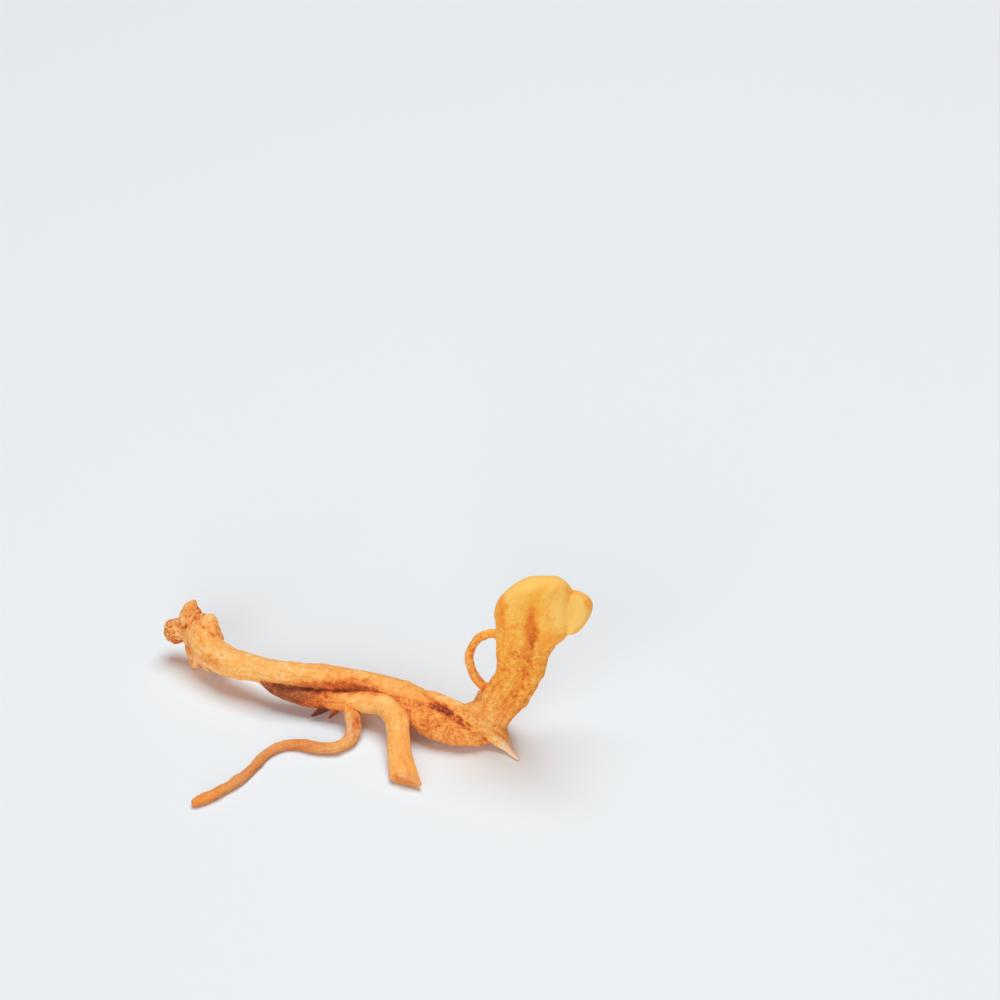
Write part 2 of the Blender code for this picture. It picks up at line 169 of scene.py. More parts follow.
CLUB_HEEL = [
    (3.3, 4.6, -0.3, 3.6, 2.7, 0, 1.3),
    (3.3, 4.1, 1.2, 3.7, 3.0, 0, 1.3),
    (3.5, 3.2, 3.2, 4.1, 3.3, 0, 1.2),
    (4.4, 2.4, 5.0, 4.2, 3.0, 0, 1.0),
    (5.6, 1.7, 7.2, 3.8, 2.2, 0, 0.8),
]
RUNNER = [
    (-13.1, 4.5, 2.7, 1.9, 1.3, 0, 1.1),
    (-12.7, 3.2, 2.0, 2.0, 1.2, 0, 1.1),
    (-12.5, 1.6, 1.1, 1.9, 1.2, 0, 1.1),
    (-12.8, 0.2, 0.75, 1.8, 1.3, 0, 1.1),
    (-13.7, -0.85, 0.68, 1.5, 1.35, 0, 1.1),
    (-15.0, -1.35, 0.65, 1.4, 1.3, 0, 1.1),
    (-16.3, -1.4, 0.65, 1.45, 1.3, 0, 1.1),
    (-18.2, -0.85, 0.6, 1.3, 1.2, 0, 1.1),
    (-20.0, -0.6, 0.55, 1.15, 1.1, 0, 1.1),
    (-21.4, -1.1, 0.52, 1.1, 1.05, 0, 1.1),
    (-22.4, -2.0, 0.52, 1.1, 1.05, 0, 1.1),
    (-23.5, -3.9, 0.52, 1.1, 1.05, 0, 1.1),
    (-24.6, -5.8, 0.52, 1.15, 1.05, 0, 1.1),
    (-26.2, -7.8, 0.54, 1.2, 1.1, 0, 1.1),
    (-27.8, -9.35, 0.56, 1.25, 1.1, 0, 1.1),
    (-29.4, -10.6, 0.56, 1.3, 1.15, 0, 1.1),
    (-30.7, -11.3, 0.55, 1.0, 1.0, 0, 0.6),
]
CURL = [
    (5.4, 2.1, 14.3, 1.4, 1.2, 0, 0.4),
    (4.3, 2.3, 14.65, 1.2, 1.1, 0, 0.4),
    (3.25, 2.3, 14.65, 1.0, 1.0, 0, 0.4),
    (2.3, 2.3, 14.15, 1.0, 1.0, 0, 0.4),
    (1.6, 2.3, 13.1, 1.05, 1.0, 0, 0.4),
    (1.2, 2.3, 11.8, 1.08, 1.0, 0, 0.4),
    (1.22, 2.3, 10.2, 1.08, 1.0, 0, 0.4),
    (1.62, 2.3, 8.7, 1.1, 1.05, 0, 0.4),
    (2.25, 2.3, 7.5, 1.1, 1.05, 0, 0.4),
    (2.95, 2.3, 6.8, 1.15, 1.1, 0, 0.4),
    (3.9, 2.2, 6.5, 1.3, 1.2, 0, 0.4),
]
NUB = [
    (-31.8, 16.4, 4.2, 1.6, 1.8, 0, 0.5),
    (-33.3, 16.8, 4.0, 2.2, 2.5, 0, 0.5),
    (-34.3, 17.1, 3.85, 2.9, 3.1, 0, 0.5),
    (-35.2, 17.2, 3.75, 2.7, 3.0, 0, 0.5),
    (-36.0, 17.25, 3.7, 1.3, 1.5, 0, 0.5),
]
FAR_PEAK = [
    (-32.1, 16.0, 4.6, 3.2, 2.6, 0, 1.8),
    (-32.3, 16.7, 5.7, 2.8, 1.6, 0, 2.4),
    (-32.4, 17.1, 6.7, 2.1, 1.1, 0, 3.2),
    (-32.25, 17.4, 7.5, 1.2, 0.7, 0, 3.2),
    (-32.15, 17.6, 8.2, 0.4, 0.35, 0, 1.6),
]
TORN_RIM = [
    (-31.4, 15.5, 4.8, 2.8, 1.9, 0, 0.9),
    (-31.3, 15.95, 5.8, 2.3, 1.4, 0, 1.4),
    (-31.2, 16.3, 6.6, 1.6, 0.9, 0, 2.2),
    (-31.15, 16.5, 7.15, 0.8, 0.4, 0, 2.2),
]
NEAR_PEAK = [
    (-30.5, 14.5, 4.2, 4.0, 2.8, 0, 0.8),
    (-30.35, 15.0, 5.5, 3.0, 2.1, 0, 1.0),
    (-30.3, 15.5, 6.7, 2.1, 1.2, 0, 1.4),
    (-30.35, 15.8, 7.5, 1.2, 0.6, 0, 1.4),
]
FLAKE = [
    (-14.9, 4.7, 2.5, 1.2, 0.5, 0, 0.3),
    (-15.7, 4.6, 2.05, 1.3, 0.3, 0, 0.3),
    (-16.5, 4.6, 1.6, 1.3, 0.28, 0, 0.3),
    (-17.1, 4.6, 1.05, 0.8, 0.26, 0, 0.3),
    (-17.8, 4.6, 0.5, 0.2, 0.22, 0, 0.3),
]
FLAKE_SLIVER = [
    (-14.1, 4.4, 2.2, 0.8, 0.4, 0, 0.3),
    (-14.5, 4.2, 1.75, 0.75, 0.3, 0, 0.3),
    (-15.1, 4.2, 1.3, 0.65, 0.28, 0, 0.3),
    (-15.45, 4.2, 0.85, 0.4, 0.25, 0, 0.3),
    (-15.75, 4.2, 0.45, 0.15, 0.2, 0, 0.3),
]

# The club is thinned along its middle: spokes of its ring whose share of the breadth lies below the
# first value are pressed to the second, one press after another.
CLUB_VALLEY = ((0.6, 0.93), (0.42, 0.9), (0.2, 0.92))

# A limb's rings lie square to its path, and face one side with their depth. Between the heights in
# level_between they are levelled, so that the path can drift sideways and the shoulders stay level.
# Tones run from the first station to the last: 0 is dark brown, 0.5 orange, 1 pale yellow. Pebbles
# say how grainy the skin is, from smooth at 0 to warty at 3, and run along the limb too.
LIMBS = {
    "long_strand": dict(
        stations=LONG_STRAND,
        facing=UP,
        seed=3.0,
        tones=(0.80, 0.85, 0.86, 0.83, 0.80, 0.78, 0.74),
        pebbles=(0.9, 0.9, 0.7, 0.7, 0.8, 0.8, 0.8),
    ),
    "ridge": dict(
        stations=RIDGE,
        facing=UP,
        seed=5.5,
        tones=(0.76, 0.81, 0.81, 0.79, 0.84, 0.98),
        pebbles=(1.2,),
    ),
    "tip_flap": dict(
        stations=TIP_FLAP,
        facing=UP,
        seed=5.8,
        tones=(0.74, 0.86, 1.0),
        pebbles=(1.0,),
    ),
    "foot_stem": dict(
        stations=FOOT_STEM,
        facing=UP,
        seed=7.0,
        # Its first tones are painted shade, where it starts under the long strand.
        tones=(0.27, 0.29, 0.46, 0.84, 0.89, 0.83, 0.79, 0.78, 0.78),
        pebbles=(1.0, 1.0, 0.5, 0.5, 0.5, 0.8),
    ),
    "belly": dict(
        stations=BELLY,
        facing=UP,
        seed=9.0,
        tones=(0.69, 0.65, 0.68, 0.73),
        pebbles=(1.5,),
    ),
    "club": dict(
        stations=CLUB,
        facing=TOWARDS_VIEWER,
        seed=11.0,
        tones=(0.79, 0.78, 0.77, 0.79, 0.88, 0.95, 0.95),
        pebbles=(1.1, 1.2, 1.3, 1.3, 0.7, 0.1, 0.0),
        level_between=(14.5, 19.5),
        valley=CLUB_VALLEY,
    ),
    "rolled_rim": dict(
        stations=ROLLED_RIM,
        facing=TOWARDS_VIEWER,
        seed=12.0,
        tones=(0.95, 0.96, 0.96, 0.9),
        pebbles=(0.1, 0.1, 0.8),
        level_between=(17.5, 20.0),
    ),
    "club_heel": dict(
        stations=CLUB_HEEL,
        facing=TOWARDS_VIEWER,
        seed=13.0,
        tones=(0.76, 0.78),
        pebbles=(1.0,),
    ),
    "runner": dict(
        stations=RUNNER,
        facing=UP,
        seed=14.0,
        tones=(0.66, 0.80, 0.70, 0.69, 0.69, 0.70, 0.60),
        pebbles=(0.8,),
    ),
    "curl": dict(
        stations=CURL,
        facing=TOWARDS_VIEWER,
        seed=15.0,
        tones=(0.76, 0.72, 0.72),
        pebbles=(1.65,),
    ),
    "nub": dict(
        stations=NUB,
        facing=UP,
        seed=4.0,
        tones=(0.82, 0.92, 0.88),
        pebbles=(1.6, 2.4),
    ),
    "far_peak": dict(
        stations=FAR_PEAK,
        facing=TOWARDS_VIEWER,
        seed=5.0,
        tones=(0.79, 0.74),
        pebbles=(1.6,),
    ),
    "torn_rim": dict(
        stations=TORN_RIM,
        facing=TOWARDS_VIEWER,
        seed=5.2,
        tones=(0.80, 0.74),
        pebbles=(1.6,),
    ),
    "near_peak": dict(
        stations=NEAR_PEAK,
        facing=TOWARDS_VIEWER,
        seed=6.0,
        tones=(0.84, 0.80),
        pebbles=(1.4,),
    ),
    "flake": dict(
        stations=FLAKE,
        facing=TOWARDS_VIEWER,
        seed=8.0,
        tones=(0.12, 0.0, -0.1),
        pebbles=(1.0,),
    ),
    "flake_sliver": dict(
        stations=FLAKE_SLIVER,
        facing=TOWARDS_VIEWER,
        seed=8.5,
        tones=(0.24, 0.05),
        pebbles=(1.0,),
    ),
}

# Lumps are ovals that stand upright or lean to one side, by some degrees about Y.
LUMPS = {
    "heel_lump": dict(
        centre=(-31.2, 15.5, 2.35),
        half_sizes=(2.2, 2.2, 2.5),
        lean=0,
        tone=0.80,
        wrinkle=1.3,
    ),
    "heel_skirt": dict(
        centre=(-29.6, 13.4, 2.5),
        half_sizes=(1.9, 1.6, 1.5),
        lean=0,
        tone=0.82,
        wrinkle=0.9,
    ),
    "stalk_web": dict(
        centre=(2.3, 1.35, 4.5),
        half_sizes=(2.0, 0.9, 1.1),
        lean=-14,
        tone=0.78,
        wrinkle=0.5,
    ),
}
LUMP_PEBBLES = 0.5
# One more oval is taken out of the heel's torn rim.
RIM_HOLLOW = dict(centre=(-31.0, 17.1, 7.0), half_sizes=(1.0, 0.35, 0.9), lean=0)

# Marks, dents, webs and tints are ovals in the flesh, centred in millimetres from the belly's contact.
# They reach so far each way, turn by some degrees about X, Y and Z, and fade between two shares of
# the way to their edge.
MARK_FADES = (0.3, 1.0)
DENT_FADES = (0.1, 1.0)
WEB_FADES = (0.6, 1.0)
TINT_FADES = (0.5, 1.0)

# A mark adds its tone to the flesh's.
MARKS = (
    # The streak down the head and the stalk.
    dict(centre=(8.35, 0.0, 17.2), reach=(1.15, 2.0, 4.4), tone=-0.22),
    dict(centre=(8.5, 0.1, 15.0), reach=(0.6, 1.6, 1.6), tone=-0.12),
    dict(centre=(7.9, 0.2, 12.4), reach=(1.3, 2.0, 3.4), tone=-0.1),
    # Orange skin up the club's left side.
    dict(centre=(5.5, 0.4, 15.2), reach=(1.8, 2.0, 3.4), tone=-0.09),
    dict(centre=(6.8, 0.3, 17.4), reach=(1.4, 1.8, 0.7), tone=-0.1),
    dict(centre=(5.0, 0.5, 19.9), reach=(1.0, 1.8, 1.3), tone=-0.2),
    dict(centre=(4.7, 0.6, 17.9), reach=(0.9, 1.8, 2.2), tone=-0.16),
    dict(centre=(5.2, 0.8, 10.9), reach=(0.8, 1.5, 0.7), tone=-0.2),
    # Painted highlights on the head's top and lobe, painted light in the lobe's groove, its darker edge.
    dict(centre=(6.4, 0.9, 22.6), reach=(2.4, 2.0, 1.1), tone=0.07),
    dict(centre=(13.9, 0.0, 19.7), reach=(1.0, 2.0, 2.8), tone=0.12),
    dict(centre=(11.5, 0.0, 18.8), reach=(1.3, 2.0, 3.4), tone=0.09),
    dict(centre=(12.7, 0.0, 18.4), reach=(0.8, 2.0, 3.2), tone=0.13),
    dict(centre=(15.1, 0.4, 20.3), reach=(0.9, 1.6, 1.4), tone=-0.12),
    # Small scars on the stalk and in the fork.
    dict(centre=(8.3, 0.2, 7.6), reach=(0.34, 1.4, 0.26), tone=-0.5),
    dict(centre=(2.9, 0.9, 5.2), reach=(0.3, 1.4, 0.22), tone=-0.25),
    # Painted shade in the crease between ridge and belly and in its shadow beyond, then patches on the
    # belly.
    dict(centre=(-1.6, 1.65, 3.8), reach=(3.1, 1.2, 1.05), turn=(0, 11, -38), tone=-0.38),
    dict(centre=(0.7, -0.4, 3.1), reach=(2.4, 0.7, 0.8), turn=(0, 16, -36), tone=-0.14),
    dict(centre=(-3.6, 0.4, 2.9), reach=(1.4, 1.4, 1.2), tone=-0.08),
    dict(centre=(0.6, -1.2, 1.6), reach=(2.4, 1.2, 0.9), tone=0.06),
    # Painted shade in the groove between the long strand and the foot stem, and on the strand's lower
    # side.
    dict(centre=(-15.5, 5.9, 3.9), reach=(6.8, 1.3, 1.3), turn=(0, 0, -9), tone=-0.34),
    dict(centre=(-10.6, 4.9, 4.1), reach=(3.4, 1.0, 0.9), turn=(0, 0, -20), tone=-0.24),
    dict(centre=(-13.5, 6.1, 4.7), reach=(6.6, 1.0, 0.8), turn=(0, 0, -9), tone=-0.23),
    dict(centre=(-7.4, 3.1, 4.1), reach=(2.6, 0.8, 0.8), turn=(0, 0, -42), tone=-0.04),
    # The pale tip, with painted light over the shade on its side.
    dict(centre=(6.3, -2.3, 0.5), reach=(2.8, 2.8, 2.0), tone=0.17),
    # Orange patches on the stalk.
    dict(centre=(4.9, 1.0, 8.6), reach=(0.9, 1.8, 1.6), tone=-0.12),
    dict(centre=(6.3, 0.2, 13.2), reach=(0.8, 1.6, 0.8), tone=-0.16),
    # Painted shade and a painted highlight on the runner's two sides where it leaves the foot stem.
    dict(centre=(-12.3, 1.6, 1.7), reach=(0.5, 2.4, 1.4), tone=-0.2),
    dict(centre=(-13.1, 1.8, 1.8), reach=(0.5, 2.4, 1.4), tone=0.12),
    # The cut foot.
    dict(centre=(-7.5, -7.3, 1.1), reach=(0.6, 0.7, 0.6), tone=-0.2),
    dict(centre=(-6.3, -7.9, 1.1), reach=(2.4, 0.5, 0.9), tone=-0.08),
    # Painted shade inside the heel's torn rim, under its edge and in its folds.
    dict(centre=(-31.0, 16.6, 6.8), reach=(0.35, 0.9, 0.9), tone=-0.3),
    dict(centre=(-29.5, 15.7, 6.9), reach=(0.4, 0.8, 0.6), tone=-0.5),
    dict(centre=(-29.9, 11.1, 4.0), reach=(2.2, 1.0, 1.0), turn=(0, 0, -38), tone=-0.14),
    dict(centre=(-32.8, 14.0, 3.2), reach=(0.9, 1.6, 1.8), tone=-0.12),
    dict(centre=(-30.9, 13.4, 5.4), reach=(0.4, 1.2, 1.6), turn=(0, -8, 0), tone=-0.1),
)
# A dent is so many millimetres deep in its middle.
DENTS = (
    dict(centre=(-1.7, 1.65, 3.8), reach=(2.9, 0.9, 0.9), turn=(0, 11, -38), depth=0.14),
    dict(centre=(0.7, -0.4, 3.1), reach=(2.2, 0.6, 0.8), turn=(0, 16, -36), depth=0.12),
    dict(centre=(8.4, -0.2, 17.4), reach=(1.5, 2.0, 4.8), turn=(0, 2, 0), depth=0.22),
    dict(centre=(8.0, 0.0, 11.0), reach=(1.0, 2.0, 4.0), turn=(0, 10, 0), depth=0.16),
    dict(centre=(-31.3, 13.4, 5.4), reach=(0.5, 1.4, 1.8), turn=(0, -6, 0), depth=0.14),
    dict(centre=(-29.6, 13.8, 5.6), reach=(0.5, 1.4, 1.6), turn=(0, 10, 0), depth=0.12),
    dict(centre=(-32.9, 14.2, 3.6), reach=(0.4, 1.4, 2.0), depth=0.14),
    dict(centre=(-29.6, 10.9, 3.9), reach=(2.2, 0.5, 1.0), turn=(0, 0, -38), depth=0.26),
)
# Grooves between the limbs are filled in passes, by a share that is higher inside a web.
WEB_PASSES = (140, 60)
WEBBED_EVERYWHERE = 0.28
FULLY_HOLLOW = 0.1 * MM  # a groove this deep is filled by the full share
WEBS = (
    dict(centre=(3.0, 0.8, 4.4), reach=(3.6, 3.0, 3.6), share=1.0),
    dict(centre=(-30.6, 14.6, 3.4), reach=(5.5, 5.5, 5.6), share=1.0),
    dict(centre=(4.6, 3.4, 4.6), reach=(4.6, 3.0, 5.2), share=1.1),
    dict(centre=(10.8, 0.6, 19.4), reach=(6.6, 5.0, 5.4), share=1.2),
    dict(centre=(-0.3, 1.1, 3.6), reach=(5.0, 2.8, 2.2), share=0.95),
)
# Between the head and its lobe a first, broader pass comes before the others.
HEAD_WEB_PASSES = 240
HEAD_WEB = dict(centre=(11.4, 0.6, 19.8), reach=(5.4, 5.0, 5.0))
# Tints multiply the flesh colour where it is yellower, duller or paler than on the strands.
TINTS = (
    dict(centre=(8.8, 1.5, 15.0), reach=(11.0, 8.0, 15.0), colour=(1.0, 0.975, 0.6, 1.0)),
    dict(centre=(9.5, 1.2, 20.4), reach=(7.6, 6.0, 6.5), colour=(1.0, 0.95, 0.82, 1.0)),
    dict(centre=(-33.3, 16.3, 4.5), reach=(4.0, 4.0, 5.5), colour=(0.92, 0.93, 1.05, 1.0)),
    dict(centre=(-29.8, 12.4, 1.6), reach=(4.8, 4.4, 3.0), colour=(1.0, 1.08, 1.7, 1.0)),
    # Painted shade, greyer, on the foot stem's start under the long strand.
    dict(centre=(-21.5, 6.5, 2.8), reach=(6.5, 2.5, 1.5), colour=(0.82, 1.08, 1.5, 1.0)),
    dict(centre=(-22.0, -4.0, 0.5), reach=(13.0, 9.5, 3.0), colour=(0.84, 0.85, 1.15, 1.0)),
    dict(centre=(-12.9, 1.9, 1.4), reach=(2.2, 3.4, 2.0), colour=(0.84, 0.82, 1.1, 1.0)),
    dict(centre=(-6.3, -8.3, 0.9), reach=(3.0, 2.0, 2.0), colour=(0.88, 0.86, 1.05, 1.0)),
    # The pale tip, partly painted light over its shaded side.
    dict(centre=(6.2, -2.3, 0.6), reach=(2.8, 2.6, 2.0), colour=(1.0, 1.08, 1.5, 1.0)),
)

# Skin and flesh are made of noises. Each has a scale or a stretch along the limbs, a detail, and an
# amount that it swings to both sides of zero: in millimetres of height here, in tone further down.
FLUTES = dict(stretch=(0.65, 0.65, 0.10), detail=1.0, amount=0.5)
FOLDS = dict(stretch=(1.5, 1.5, 0.26), detail=2.0)
FOLD_SHARPNESS = 0.7
FOLD_HEIGHT = 0.24
SWELLS = dict(scale=0.55, detail=1.0, amount=0.4)
PEBBLES = dict(scale=2.6, detail=2.0, amount=0.07)
FACETS = dict(scale=0.9, detail=1.0, amount=0.09)
FULLY_ROUGH_ABOVE = 0.5  # millimetres over the surface, below which the skin is pressed smooth
LOWEST_PLACE = (-1.0, -1.0, 0.0)  # no point sinks below the surface
LIMBS_BLEND_PASSES = 16

CLOUDS = dict(scale=0.35, detail=2.0, amount=0.14)
PATCHES = dict(scale=1.3, detail=3.0, amount=0.32)
GRAINS = dict(scale=6.0, detail=2.0, amount=0.16)
STREAKS = dict(stretch=(1.6, 1.6, 0.3), detail=2.0, amount=0.06)
MOTTLING = dict(scale=3.0, detail=2.0, amount=0.25)
SPECKS = dict(scale=2.3, detail=1.0)
# While one value runs from the first number to the second, another runs from the third to the fourth:
# how much of a noise shows as the skin gets pebbled, and how much darker a speck makes the tone.
PATCHES_SHOW = (0.2, 2.0, 0.1, 1.0)
GRAINS_SHOW = (0.0, 3.0, 0.5, 1.5)
MOTTLING_SHOWS = (0.0, 3.2, 0.35, 1.7)
SPECKS_DARKEN = (0.68, 0.78, 0.0, 0.12)

# Skin more pebbled than the first number begins to be warty. Dark lines run between its warts.
WARTY = (1.5, 2.3)
WART_SCALE = 2.0
WART_LINES = (0.04, 0.26, 0.4, 0.0)
WANDER = {"Scale": 1.3, "Detail": 4.0}
WANDER_REACH = 2.0

# Hollows of three sizes get painted shade. Each is measured against surroundings blurred in so many
# passes, and paints shade into the tone between two depths in millimetres.
PAINTED_SHADE_HOLLOWS = (
    dict(passes=4, paints_shade=(-0.03, 0.04, -0.05, 0.07)),
    dict(passes=24, paints_shade=(-0.08, 0.2, -0.06, 0.26)),
    dict(passes=160, paints_shade=(0.0, 0.8, 0.0, 0.34)),
)

FINE_GRAIN = dict(scale=6.5, detail=3.0, roughness=0.6)
FIBRES = dict(stretch=(7.0, 7.0, 1.1), detail=2.0)
GRAIN_HEIGHT = 0.6
FIBRE_HEIGHT = 0.5
BUMP_HEIGHT = 0.06 * MM
GRAIN_ROUGHENS = (0.2, 0.8, 0.72, 0.95)


def select_only(*pieces):
    bpy.ops.object.select_all(action="DESELECT")
    for piece in pieces:
        piece.select_set(True)
    bpy.context.view_layer.objects.active = pieces[0]


def apply_modifier(piece, kind, **settings):
    """Adds one modifier to a piece and applies it."""
    select_only(piece)
    modifier = piece.modifiers.new(kind.lower(), kind)
    for name, value in settings.items():
        setattr(modifier, name, value)
    bpy.ops.object.modifier_apply(modifier=modifier.name)


def seated(place):
    """A place in millimetres from the belly's contact, as a place in the scene."""
    return Vector(place) * MM + BELLY_CONTACT


def rings_along(stations):
    """Evenly spaced rings on a smooth curve through the stations."""
    knots = np.array(stations, dtype=float)
    lengths = np.linalg.norm(np.diff(knots[:, PLACE], axis=0), axis=1)
    reached = np.concatenate([[0.0], np.cumsum(lengths)])
    slopes = np.gradient(knots, reached, axis=0)
    count = max(FEWEST_RINGS, round(reached[-1] / RING_STEP) + 1)
    rings = []
    for at in np.linspace(0.0, reached[-1], count):
        left = min(int(np.searchsorted(reached, at, side="right")) - 1, len(knots) - 2)
        span = reached[left + 1] - reached[left]
        t = (at - reached[left]) / span
        rings.append(
            (2 * t**3 - 3 * t**2 + 1) * knots[left]
            + (t**3 - 2 * t**2 + t) * span * slopes[left]
            + (3 * t**2 - 2 * t**3) * knots[left + 1]
            + (t**3 - t**2) * span * slopes[left + 1]
        )
    return rings


def ring_axes(rings, index, limb):
    """One ring's axes as a matrix of columns: across its breadth, through its depth, along the limb."""
    before = Vector(rings[max(index - 1, 0)][PLACE])
    after = Vector(rings[min(index + 1, len(rings) - 1)][PLACE])
    along = (after - before).normalized()
    if "level_between" in limb:
        share = np.interp(rings[index][HEIGHT], limb["level_between"], (0.0, 1.0))
        along = along.lerp(UP * math.copysign(1.0, along.z), share).normalized()
    across = along.cross(limb["facing"]).normalized()
    axes = Matrix((across, along.cross(across), along)).transposed()
    return Matrix.Rotation(math.radians(rings[index][ROLL]), 3, along) @ axes


def turn_selected(turn, centre):
    """Turns what is selected by a rotation matrix, about each of the scene's axes in order."""
    for axis, angle in zip("XYZ", turn.to_euler("XYZ")):
        bpy.ops.transform.rotate(value=TURN_SIGN * angle, orient_axis=axis, center_override=centre)


def size_selected(broader, deeper, axes, centre):
    """Sizes what is selected along a ring's own breadth and depth."""
    bpy.ops.transform.resize(
        value=(broader, deeper, 1.0),
        orient_type="GLOBAL",
        orient_matrix=[tuple(axis) for axis in axes.transposed()],
        orient_matrix_type="GLOBAL",
        constraint_axis=(True, True, False),
        center_override=centre,
    )


def select_spokes(near_middle):
    """Selects the points of the start ring whose share of the breadth is below a limit."""
    mesh = bmesh.from_edit_mesh(bpy.context.object.data)
    for vert in mesh.verts:
        share = abs(math.cos(2.0 * math.pi * (vert.index / RING_POINTS) + math.pi / 2.0))
        vert.select_set(share < near_middle)
    mesh.select_flush_mode()
    bmesh.update_edit_mesh(bpy.context.object.data)


def grow_limb(name, limb):
    """Extrudes a ring from station to station, turning and sizing it on the way."""
    rings = rings_along(limb["stations"])
    centres = [seated(ring[PLACE]) for ring in rings]
    axes = [ring_axes(rings, index, limb) for index in range(len(rings))]
    bpy.ops.object.select_all(action="DESELECT")
    bpy.ops.mesh.primitive_circle_add(vertices=RING_POINTS, radius=MM / 2.0, fill_type="NGON")
    piece = bpy.context.object
    piece.name = name
    bpy.ops.object.mode_set(mode="EDIT")
    bpy.ops.mesh.select_mode(type="VERT")
    for near_middle, thinned in limb.get("valley", ()):
        select_spokes(near_middle)
        size_selected(1.0, thinned, Matrix.Identity(3), MIDDLE)
    bpy.ops.mesh.select_mode(type="FACE")
    bpy.ops.mesh.select_all(action="SELECT")
    turn_selected(axes[0], MIDDLE)
    bpy.ops.transform.translate(value=centres[0])
    size_selected(rings[0][BREADTH], rings[0][DEPTH], axes[0], centres[0])
    for index in range(1, len(rings)):
        step = centres[index] - centres[index - 1]
        bpy.ops.mesh.extrude_region_move(TRANSFORM_OT_translate={"value": step})
        turn_selected(axes[index] @ axes[index - 1].transposed(), centres[index])
        broader = rings[index][BREADTH] / rings[index - 1][BREADTH]
        deeper = rings[index][DEPTH] / rings[index - 1][DEPTH]
        size_selected(broader, deeper, axes[index], centres[index])
    bpy.ops.mesh.select_all(action="SELECT")
    bpy.ops.mesh.normals_make_consistent(inside=False)
    bpy.ops.object.mode_set(mode="OBJECT")
    note_limb(piece, limb, rings, centres, axes)
    apply_modifier(piece, "SUBSURF", levels=1, render_levels=1)
    return piece


def note_limb(piece, limb, rings, centres, axes):
    """Notes at each point where it lies in the straightened limb, its tone with painted shade below, and
    its wrinkles and pebbles.
    """
    count = len(rings)
    points = read_points(piece).reshape(count, RING_POINTS, 3)
    flow = np.zeros_like(points)
    skin = np.zeros_like(points)
    for index, ring in enumerate(rings):
        spokes = points[index] - np.array(centres[index])
        flow[index] = spokes @ np.array(axes[index]) / MM
        flow[index, :, 2] = index * RING_STEP + LIMBS_APART * limb["seed"]
        rise = spokes[:, 2] / np.linalg.norm(spokes, axis=1)
        # Painted shade on the underside, partly its own redder colour.
        shaded = UNDERSIDE_PAINTED_SHADE * np.clip(UNDERSIDE_BELOW - rise, 0.0, 1.0)
        girth = min(ring[BREADTH], ring[DEPTH])
        share = index / (count - 1)
        skin[index, :, 0] = along_limb(limb["tones"], share) - shaded
        skin[index, :, 1] = ring[WRINKLE] * min(1.0, girth / FULL_WRINKLE_GIRTH)
        skin[index, :, 2] = along_limb(limb["pebbles"], share)
    note_points(piece, "flow", flow)
    note_points(piece, "skin", skin)


def along_limb(values, share):
    """The value at a share of the limb's length, of values spread evenly along it."""
    return np.interp(share, np.linspace(0.0, 1.0, len(values)), values)


def read_points(piece):
    points = np.zeros(len(piece.data.vertices) * 3)
    piece.data.vertices.foreach_get("co", points)
    return points.reshape(-1, 3)


def note_points(piece, name, values):
    noted = piece.data.attributes.new(name, "FLOAT_VECTOR", "POINT")
    noted.data.foreach_set("vector", np.ascontiguousarray(values, dtype=np.float32).ravel())


def swell_oval(name, oval):
    """A ball pressed to an oval, leaned over, and set in its place."""
    bpy.ops.object.select_all(action="DESELECT")
    bpy.ops.mesh.primitive_ico_sphere_add(subdivisions=4, radius=MM)
    piece = bpy.context.object
    piece.name = name
    bpy.ops.object.mode_set(mode="EDIT")
    bpy.ops.mesh.select_all(action="SELECT")
    bpy.ops.transform.resize(value=oval["half_sizes"], center_override=MIDDLE)
    turn_selected(Matrix.Rotation(math.radians(oval["lean"]), 3, "Y"), MIDDLE)
    bpy.ops.transform.translate(value=seated(oval["centre"]))
    bpy.ops.object.mode_set(mode="OBJECT")
    return piece


def swell_lump(name, lump):
    """An oval of flesh, which notes at each point its way from the middle, and its tone and wrinkles."""
    piece = swell_oval(name, lump)
    centre = seated(lump["centre"])
    flow = (read_points(piece) - np.array(centre)) / MM + centre.x / MM
    skin = (lump["tone"], lump["wrinkle"], LUMP_PEBBLES)
    note_points(piece, "flow", flow)
    note_points(piece, "skin", np.tile(skin, (len(flow), 1)))
    return piece


def slice_away(piece, point, facing):
    """Cuts a piece flat at a point and removes what lies beyond it."""
    select_only(piece)
    bpy.ops.object.mode_set(mode="EDIT")
    bpy.ops.mesh.select_all(action="SELECT")
    bpy.ops.mesh.bisect(plane_co=point, plane_no=facing, use_fill=True, clear_outer=True)
    bpy.ops.object.mode_set(mode="OBJECT")


def build_limbs():
    """Every limb and lump, cut where the real one is cut or rests, joined but not yet fused."""
    limbs = {name: grow_limb(name, limb) for name, limb in LIMBS.items()}
    slice_away(limbs["foot_stem"], FOOT_END + BELLY_CONTACT, FOOT_END_FACES)
    pieces = list(limbs.values()) + [swell_lump(name, lump) for name, lump in LUMPS.items()]
    for piece in pieces:
        slice_away(piece, MIDDLE, -UP)
    select_only(*pieces)
    bpy.ops.object.join()
    return bpy.context.object


